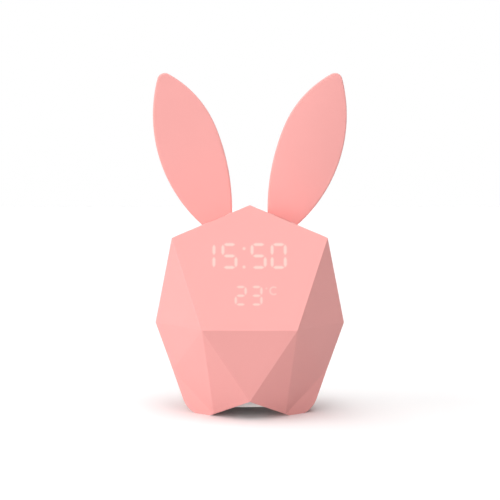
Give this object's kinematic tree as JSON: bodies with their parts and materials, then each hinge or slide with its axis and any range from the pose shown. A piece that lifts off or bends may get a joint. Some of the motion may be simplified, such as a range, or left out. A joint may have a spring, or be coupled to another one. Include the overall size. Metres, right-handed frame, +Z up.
{
  "type": "alarm clock",
  "caption": "Faceted soft-skinned bedside alarm clock with two curved ears, a light-bar time and temperature display, rear push buttons and a charging socket.",
  "frame": {"origin": "on the table, under the middle of the body", "axes": "+Z up, the display looks along -Y, +X to the right seen from the front"},
  "size_m": [0.1024, 0.0814, 0.1796],
  "materials": {
    "silicone": "matte",
    "white_shell": "satin",
    "mask": "matte",
    "light_bar": "gloss",
    "board": "satin",
    "chip": "matte",
    "socket": "satin",
    "steel": "satin",
    "button": "matte",
    "cone": "matte",
    "magnet": "satin",
    "cell": "satin",
    "foam": "matte",
    "lead": "satin",
    "ribbon": "satin"
  },
  "bodies": {
    "body": {"outer_skin": "silicone", "ear_left": "silicone", "ear_right": "silicone", "shell_front": "white_shell", "shell_rear": "white_shell", "shell_screws": "steel", "base_plate": "white_shell", "base_screws": "steel", "display_mask": "mask", "time_bars": "light_bar", "colon_dots": "light_bar", "temperature_bars": "light_bar", "degree_sign": "light_bar", "display_board": "board", "display_screws": "steel", "display_drivers": "chip", "display_socket": "socket", "main_board": "board", "main_board_screws": "steel", "main_chips": "chip", "main_sockets": "socket", "switch_bodies": "chip", "charging_socket": "steel", "charging_tongue": "chip", "microphone": "steel", "tap_sensor": "steel", "temperature_sensor": "chip", "speaker_frame": "steel", "speaker_cone": "cone", "speaker_magnet": "magnet", "battery": "cell", "battery_pad": "foam", "display_ribbon": "ribbon", "battery_lead": "lead", "speaker_lead": "lead"},
    "mode_key": {"mode_button": "button", "mode_switch_stem": "chip"},
    "alarm_key": {"alarm_button": "button", "alarm_switch_stem": "chip"},
    "down_key": {"down_button": "button", "down_switch_stem": "chip"},
    "up_key": {"up_button": "button", "up_switch_stem": "chip"}
  },
  "joints": [
    {"name": "mode_press", "type": "slide", "parent": "body", "child": "mode_key", "axis": [0, -0.9659, -0.2588], "range_m": [0, 0.0005], "stiffness_N_per_m": 2400},
    {"name": "alarm_press", "type": "slide", "parent": "body", "child": "alarm_key", "axis": [0, -0.9659, -0.2588], "range_m": [0, 0.0005], "stiffness_N_per_m": 2400},
    {"name": "down_press", "type": "slide", "parent": "body", "child": "down_key", "axis": [0, -0.9659, -0.2588], "range_m": [0, 0.0005], "stiffness_N_per_m": 2400},
    {"name": "up_press", "type": "slide", "parent": "body", "child": "up_key", "axis": [0, -0.9659, -0.2588], "range_m": [0, 0.0005], "stiffness_N_per_m": 2400}
  ]
}
